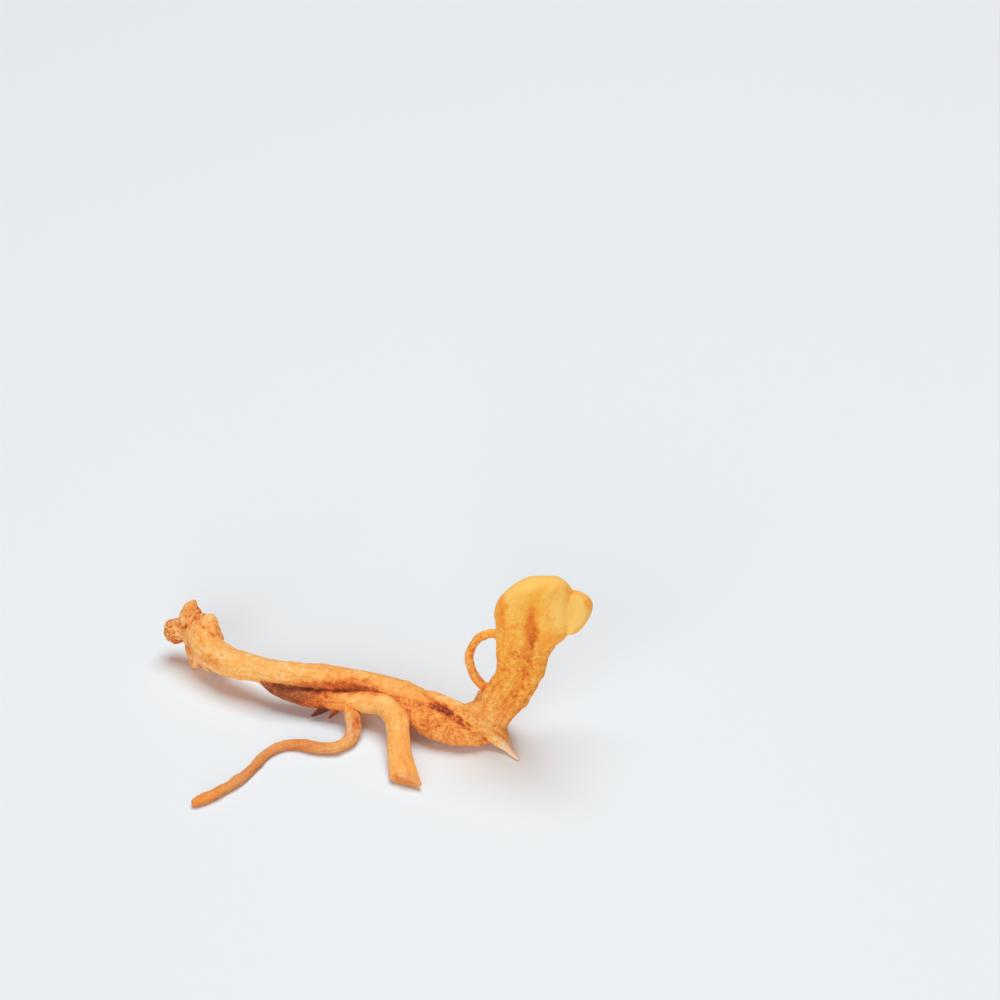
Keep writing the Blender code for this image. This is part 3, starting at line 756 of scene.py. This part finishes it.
class Nodes:
    """Adds nodes to one tree and wires each one as it is made."""

    def __init__(self, tree):
        self.tree = tree

    def feed(self, socket, value):
        """Links another node's output to a socket, or sets the socket's own value."""
        if isinstance(value, bpy.types.NodeSocket):
            self.tree.links.new(value, socket)
        else:
            socket.default_value = value

    def add(self, kind, inputs=None, **settings):
        """Makes a node with its settings, then feeds its inputs, which go by name or by number."""
        made = self.tree.nodes.new(kind)
        for name, value in settings.items():
            setattr(made, name, value)
        for name, value in (inputs or {}).items():
            if isinstance(name, str):
                socket = next(s for s in made.inputs if s.name == name and s.enabled)
            else:
                socket = made.inputs[name]
            self.feed(socket, value)
        return made

    def out(self, made, name=None):
        """A node's first output in use, or the one with a name."""
        return next(s for s in made.outputs if s.enabled and name in (None, s.name))

    def maths(self, operation, first, second=0.0):
        return self.add("ShaderNodeMath", {0: first, 1: second}, operation=operation).outputs[0]

    def vectors(self, operation, first, second=(0.0, 0.0, 0.0), result="Vector"):
        made = self.add("ShaderNodeVectorMath", {0: first, 1: second}, operation=operation)
        return made.outputs[result]

    def scaled(self, vector, amount):
        made = self.add("ShaderNodeVectorMath", {0: vector, "Scale": amount}, operation="SCALE")
        return made.outputs["Vector"]

    def in_millimetres(self, place):
        return self.vectors("MULTIPLY", place, (1.0 / MM,) * 3)

    def split(self, vector):
        """A vector's three values."""
        return tuple(self.add("ShaderNodeSeparateXYZ", {0: vector}).outputs)

    def noise(self, place, stretch=None, scale=1.0, detail=2.0, roughness=0.5):
        """Noise from 0 to 1 at a place, which a stretch draws out along the limbs."""
        if stretch:
            place = self.vectors("MULTIPLY", place, stretch)
        inputs = {"Vector": place, "Scale": scale, "Detail": detail, "Roughness": roughness}
        return self.out(self.add("ShaderNodeTexNoise", inputs), "Fac")

    def swing(self, place, amount=1.0, **grain):
        """Noise that swings by an amount to both sides of zero."""
        centred = self.maths("SUBTRACT", self.noise(place, **grain), 0.5)
        return self.maths("MULTIPLY", centred, 2.0 * amount)

    def between(self, value, low, high, at_low=0.0, at_high=1.0):
        """Runs smoothly from one value to another while a third goes from low to high."""
        inputs = {"Value": value, "From Min": low, "From Max": high, "To Min": at_low, "To Max": at_high}
        made = self.add("ShaderNodeMapRange", inputs, interpolation_type="SMOOTHSTEP")
        return self.out(made, "Result")

    def inside(self, place, oval, fades, amount=1.0):
        """An amount in the middle of an oval, which fades to nothing at its edge."""
        middle = Vector(oval["centre"]) + BELLY_CONTACT / MM
        turn = [math.radians(angle) for angle in oval.get("turn", (0, 0, 0))]
        inputs = {"Vector": self.vectors("SUBTRACT", place, middle), "Rotation": turn}
        turned = self.add("ShaderNodeVectorRotate", inputs, rotation_type="EULER_XYZ", invert=True)
        shares = self.vectors("DIVIDE", self.out(turned), oval["reach"])
        return self.between(self.vectors("LENGTH", shares, result="Value"), *fades, amount, 0.0)


class SkinNodes(Nodes):
    """Nodes for a mesh, which read, note, blur and move what its points hold."""

    def read(self, name):
        noted = self.add("GeometryNodeInputNamedAttribute", {"Name": name}, data_type="FLOAT_VECTOR")
        return self.out(noted, "Attribute")

    def note(self, mesh, name, value):
        inputs = {"Geometry": mesh, "Name": name, "Value": value}
        settings = dict(data_type="FLOAT_VECTOR", domain="POINT")
        return self.out(self.add("GeometryNodeStoreNamedAttribute", inputs, **settings), "Geometry")

    def nearest(self, mesh, name):
        """What another mesh holds where its surface comes nearest."""
        inputs = {"Mesh": mesh, "Value": self.read(name)}
        made = self.add("GeometryNodeSampleNearestSurface", inputs, data_type="FLOAT_VECTOR")
        return self.out(made, "Value")

    def blurred(self, value, passes, data_type="FLOAT_VECTOR"):
        inputs = {"Value": value, "Iterations": passes}
        return self.out(self.add("GeometryNodeBlurAttribute", inputs, data_type=data_type), "Value")

    def move(self, mesh, **where):
        """Sets the points' new Position, or how far they go as an Offset."""
        return self.out(self.add("GeometryNodeSetPosition", {"Geometry": mesh, **where}), "Geometry")

    def way_out(self, place, passes):
        """The way from each point to the middle of its surroundings."""
        return self.vectors("SUBTRACT", self.blurred(place, passes), place)


def fill_grooves(nodes, mesh, position, normal):
    """Draws the hollow places outwards, in passes from broad to fine, most of all inside the webs."""
    millimetres = nodes.in_millimetres(position)
    webbed = WEBBED_EVERYWHERE
    for web in WEBS:
        webbed = nodes.maths("MAXIMUM", webbed, nodes.inside(millimetres, web, WEB_FADES, web["share"]))
    head_webbed = nodes.inside(millimetres, HEAD_WEB, WEB_FADES)
    rounds = [(HEAD_WEB_PASSES, head_webbed)] + [(passes, webbed) for passes in WEB_PASSES]
    for passes, share in rounds:
        way_out = nodes.way_out(position, passes)
        hollow = nodes.vectors("DOT_PRODUCT", way_out, normal, "Value")
        amount = nodes.maths("MULTIPLY", nodes.between(hollow, 0.0, FULLY_HOLLOW), share)
        mesh = nodes.move(mesh, Offset=nodes.scaled(way_out, amount))
    return mesh


def skin_height(nodes, flow, millimetres, wrinkle, pebbling):
    """How far the dried skin stands out from the smooth flesh, in millimetres."""
    flutes = nodes.swing(flow, **FLUTES)
    folds = nodes.maths("ABSOLUTE", nodes.swing(flow, **FOLDS))
    folds = nodes.maths("MULTIPLY", nodes.maths("POWER", folds, FOLD_SHARPNESS), FOLD_HEIGHT)
    lengthwise = nodes.maths("MULTIPLY", nodes.maths("ADD", flutes, folds), wrinkle)
    swells = nodes.maths("MULTIPLY", nodes.swing(millimetres, **SWELLS), wrinkle)
    pebbles = nodes.maths("ADD", nodes.swing(millimetres, **PEBBLES), nodes.swing(millimetres, **FACETS))
    pebbles = nodes.maths("MULTIPLY", pebbles, pebbling)
    height = nodes.maths("ADD", nodes.maths("ADD", lengthwise, swells), pebbles)
    for dent in DENTS:
        dented = nodes.inside(millimetres, dent, DENT_FADES, dent["depth"])
        height = nodes.maths("SUBTRACT", height, dented)
    height = nodes.blurred(height, 1, "FLOAT")
    above_surface = nodes.split(millimetres)[2]
    return nodes.maths("MULTIPLY", height, nodes.between(above_surface, 0.0, FULLY_ROUGH_ABOVE))


def dried_skin(limbs):
    """Geometry nodes that wrinkle the fused flesh along its limbs and note its hollows."""
    tree = bpy.data.node_groups.new("dried_skin", "GeometryNodeTree")
    tree.interface.new_socket("Geometry", in_out="INPUT", socket_type="NodeSocketGeometry")
    tree.interface.new_socket("Geometry", in_out="OUTPUT", socket_type="NodeSocketGeometry")
    nodes = SkinNodes(tree)
    mesh = nodes.out(nodes.add("NodeGroupInput"), "Geometry")
    source = nodes.out(nodes.add("GeometryNodeObjectInfo", {"Object": limbs}), "Geometry")
    mesh = nodes.note(mesh, "flow", nodes.nearest(source, "flow"))
    mesh = nodes.note(mesh, "skin", nodes.blurred(nodes.nearest(source, "skin"), LIMBS_BLEND_PASSES))
    position = nodes.out(nodes.add("GeometryNodeInputPosition"))
    normal = nodes.out(nodes.add("GeometryNodeInputNormal"), "Normal")
    millimetres = nodes.in_millimetres(position)

    mesh = fill_grooves(nodes, mesh, position, normal)
    _, wrinkle, pebbling = nodes.split(nodes.read("skin"))
    height = skin_height(nodes, nodes.read("flow"), millimetres, wrinkle, pebbling)
    mesh = nodes.move(mesh, Offset=nodes.scaled(normal, nodes.maths("MULTIPLY", height, MM)))
    mesh = nodes.move(mesh, Position=nodes.vectors("MAXIMUM", position, LOWEST_PLACE))

    # The hollows are noted for the painted shade in the flesh.
    hollows = {}
    for axis, size in enumerate(PAINTED_SHADE_HOLLOWS):
        way_out = nodes.way_out(millimetres, size["passes"])
        hollows[axis] = nodes.vectors("DOT_PRODUCT", way_out, normal, "Value")
    mesh = nodes.note(mesh, "hollows", nodes.out(nodes.add("ShaderNodeCombineXYZ", hollows)))
    nodes.add("NodeGroupOutput", {"Geometry": mesh})
    return tree


def build_cluster():
    """The limbs fused into one flesh, wrinkled, and decimated to no more than a set count of triangles.
    """
    limbs = build_limbs()
    select_only(limbs)
    bpy.ops.object.duplicate()
    cluster = bpy.context.object
    cluster.name = "cordyceps_cluster"
    apply_modifier(cluster, "REMESH", mode="VOXEL", voxel_size=VOXEL, use_smooth_shade=True)
    hollow = swell_oval("rim_hollow", RIM_HOLLOW)
    apply_modifier(cluster, "BOOLEAN", operation="DIFFERENCE", solver="EXACT", object=hollow)
    bpy.data.objects.remove(hollow)
    apply_modifier(cluster, "REMESH", mode="VOXEL", voxel_size=VOXEL, use_smooth_shade=True)
    apply_modifier(cluster, "SMOOTH", factor=0.5, iterations=6)
    skin = dried_skin(limbs)
    apply_modifier(cluster, "NODES", node_group=skin)
    bpy.data.node_groups.remove(skin)
    bpy.data.objects.remove(limbs)
    apply_modifier(cluster, "TRIANGULATE")
    triangles = len(cluster.data.polygons)
    if triangles > MOST_TRIANGLES:
        apply_modifier(cluster, "DECIMATE", ratio=MOST_TRIANGLES / triangles)
    cluster.data.shade_smooth()
    return cluster


def srgb(red, green, blue):
    """A colour given as 0 to 255, as the linear values that a shader takes."""
    shares = [value / 255.0 for value in (red, green, blue)]
    return tuple(s / 12.92 if s <= 0.04045 else ((s + 0.055) / 1.055) ** 2.4 for s in shares) + (1.0,)


FLESH_COLOURS = (
    (0.00, srgb(92, 50, 38)),
    (0.18, srgb(134, 62, 36)),
    (0.38, srgb(188, 88, 42)),
    (0.56, srgb(228, 126, 58)),
    (0.74, srgb(246, 160, 78)),
    (0.88, srgb(252, 184, 100)),
    (1.00, srgb(254, 208, 146)),
)
FLESH_FINISH = {
    "Subsurface Weight": 0.2,
    "Subsurface Radius": (1.0, 0.4, 0.15),
    "Subsurface Scale": 0.5 * MM,
    "Specular IOR Level": 0.15,
    "Sheen Weight": 0.12,
    "Sheen Tint": srgb(255, 222, 170),
    "Sheen Roughness": 0.5,
}


def grainy_tone(nodes, tone, pebbling, millimetres, flow):
    """The limbs' own tone, clouded, streaked and speckled, most of all where the skin is pebbled."""
    tone = nodes.maths("ADD", tone, nodes.swing(millimetres, **CLOUDS))
    patches = nodes.swing(millimetres, **PATCHES)
    patches = nodes.maths("MULTIPLY", patches, nodes.between(pebbling, *PATCHES_SHOW))
    grains = nodes.swing(millimetres, **GRAINS)
    grains = nodes.maths("MULTIPLY", grains, nodes.between(pebbling, *GRAINS_SHOW))
    tone = nodes.maths("ADD", tone, nodes.maths("ADD", patches, grains))
    tone = nodes.maths("ADD", tone, nodes.swing(flow, **STREAKS))
    mottling = nodes.swing(millimetres, **MOTTLING)
    mottling = nodes.maths("MULTIPLY", mottling, nodes.between(pebbling, *MOTTLING_SHOWS))
    specks = nodes.between(nodes.noise(millimetres, **SPECKS), *SPECKS_DARKEN)
    specks = nodes.maths("MULTIPLY", specks, pebbling)
    return nodes.maths("SUBTRACT", nodes.maths("ADD", tone, mottling), specks)


def wandering_place(nodes, millimetres):
    """The place, shifted by noise, so that what follows it gets ragged edges."""
    wander = nodes.add("ShaderNodeTexNoise", {"Vector": millimetres, **WANDER}).outputs["Color"]
    wander = nodes.vectors("SUBTRACT", wander, (0.5, 0.5, 0.5))
    return nodes.vectors("ADD", millimetres, nodes.scaled(wander, WANDER_REACH))


def marked_tone(nodes, tone, pebbling, wandering, depths):
    """The tone with dark lines between the warts, the marks, and painted shade in the hollows."""
    inputs = {"Vector": wandering, "Scale": WART_SCALE}
    warts = nodes.add("ShaderNodeTexVoronoi", inputs, feature="DISTANCE_TO_EDGE")
    lines = nodes.between(nodes.out(warts, "Distance"), *WART_LINES)
    tone = nodes.maths("SUBTRACT", tone, nodes.maths("MULTIPLY", lines, nodes.between(pebbling, *WARTY)))
    for mark in MARKS:
        tone = nodes.maths("ADD", tone, nodes.inside(wandering, mark, MARK_FADES, mark["tone"]))
    # Painted shade in the hollows.
    for size, depth in zip(PAINTED_SHADE_HOLLOWS, depths):
        tone = nodes.maths("SUBTRACT", tone, nodes.between(depth, *size["paints_shade"]))
    return tone


def flesh_colour(nodes, tone, millimetres):
    """The tone's colour on the ramp from dark brown to pale yellow, with the tints over it."""
    ramp = nodes.add("ShaderNodeValToRGB", {0: tone})
    stops = ramp.color_ramp.elements
    stops.remove(stops[1])
    stops[0].position, stops[0].color = FLESH_COLOURS[0]
    for position, colour in FLESH_COLOURS[1:]:
        stops.new(position).color = colour
    flesh = ramp.outputs[0]
    for tint in TINTS:
        inputs = {0: nodes.inside(millimetres, tint, TINT_FADES), 6: flesh, 7: tint["colour"]}
        flesh = nodes.add("ShaderNodeMix", inputs, data_type="RGBA", blend_type="MULTIPLY").outputs[2]
    return flesh


def dried_flesh():
    """Matte, slightly velvety flesh, coloured by what its points hold."""
    material = bpy.data.materials.new("dried_flesh")
    material.use_nodes = True
    nodes = Nodes(material.node_tree)
    shader = material.node_tree.nodes["Principled BSDF"]

    def held(name):
        return nodes.out(nodes.add("ShaderNodeAttribute", attribute_name=name), "Vector")

    millimetres = nodes.in_millimetres(nodes.out(nodes.add("ShaderNodeTexCoord"), "Object"))
    flow = held("flow")
    tone, _, pebbling = nodes.split(held("skin"))
    tone = grainy_tone(nodes, tone, pebbling, millimetres, flow)
    wandering = wandering_place(nodes, millimetres)
    tone = marked_tone(nodes, tone, pebbling, wandering, nodes.split(held("hollows")))
    nodes.feed(shader.inputs["Base Color"], flesh_colour(nodes, tone, millimetres))

    grain = nodes.noise(millimetres, **FINE_GRAIN)
    fibres = nodes.noise(flow, **FIBRES)
    relief = nodes.maths("MULTIPLY", grain, GRAIN_HEIGHT)
    relief = nodes.maths("ADD", relief, nodes.maths("MULTIPLY", fibres, FIBRE_HEIGHT))
    bump = nodes.add("ShaderNodeBump", {"Strength": 1.0, "Distance": BUMP_HEIGHT, "Height": relief})
    nodes.feed(shader.inputs["Normal"], bump.outputs[0])
    nodes.feed(shader.inputs["Roughness"], nodes.between(grain, *GRAIN_ROUGHENS))
    for name, value in FLESH_FINISH.items():
        shader.inputs[name].default_value = value
    return material


FLOOR_SIZE = 3.0
FLOOR_COLOUR = srgb(236, 243, 247)
FLOOR_ROUGHNESS = 0.6

# The lamps are a little cool and the room's light is warm, so the shadows are warm.
LAMP_COLOUR = (0.79, 0.985, 1.04)
LAMPS = {
    "top_light": dict(place=(0.08, 0.2, 0.9), size=0.65, power=7.1),
    "front_light": dict(place=(-0.3, -1.0, 0.34), size=0.9, power=8.4),
}
ROOM_COLOUR = srgb(255, 158, 110)
ROOM_STRENGTH = 0.29

FOCAL_LENGTH = 122.4
FILM_WIDTH = 36.0
NEAREST_SEEN = 0.01
CAMERA_PLACE = BELLY_CONTACT + Vector((4.706, -311.128, 253.041)) * MM
CAMERA_TILT = math.radians(90.0 - 35.0)  # it looks 35 degrees down


def lay_floor():
    bpy.ops.object.select_all(action="DESELECT")
    bpy.ops.mesh.primitive_plane_add(size=FLOOR_SIZE)
    floor = bpy.context.object
    floor.name = "floor"
    material = bpy.data.materials.new("pale_floor")
    material.use_nodes = True
    shader = material.node_tree.nodes["Principled BSDF"]
    shader.inputs["Base Color"].default_value = FLOOR_COLOUR
    shader.inputs["Roughness"].default_value = FLOOR_ROUGHNESS
    floor.data.materials.append(material)


def hang_lamp(name, place, size, power):
    """A square lamp that faces the middle of the scene."""
    lamp = bpy.data.lights.new(name, "AREA")
    lamp.size = size
    lamp.energy = power
    lamp.color = LAMP_COLOUR
    made = bpy.data.objects.new(name, lamp)
    made.location = place
    made.rotation_euler = (-Vector(place)).to_track_quat("-Z", "Y").to_euler()
    bpy.context.scene.collection.objects.link(made)


def light_room():
    for name, lamp in LAMPS.items():
        hang_lamp(name, **lamp)
    room = bpy.data.worlds.new("room")
    room.use_nodes = True
    background = room.node_tree.nodes["Background"]
    background.inputs["Color"].default_value = ROOM_COLOUR
    background.inputs["Strength"].default_value = ROOM_STRENGTH
    bpy.context.scene.world = room
    bpy.context.scene.view_settings.view_transform = "Standard"


def place_camera():
    camera = bpy.data.cameras.new("camera")
    camera.lens = FOCAL_LENGTH
    camera.sensor_width = FILM_WIDTH
    camera.clip_start = NEAREST_SEEN
    made = bpy.data.objects.new("camera", camera)
    made.location = CAMERA_PLACE
    made.rotation_euler = (CAMERA_TILT, 0.0, 0.0)
    bpy.context.scene.collection.objects.link(made)
    bpy.context.scene.camera = made


cluster = build_cluster()
cluster.data.materials.append(dried_flesh())
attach(cluster, "root")
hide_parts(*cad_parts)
lay_floor()
light_room()
place_camera()
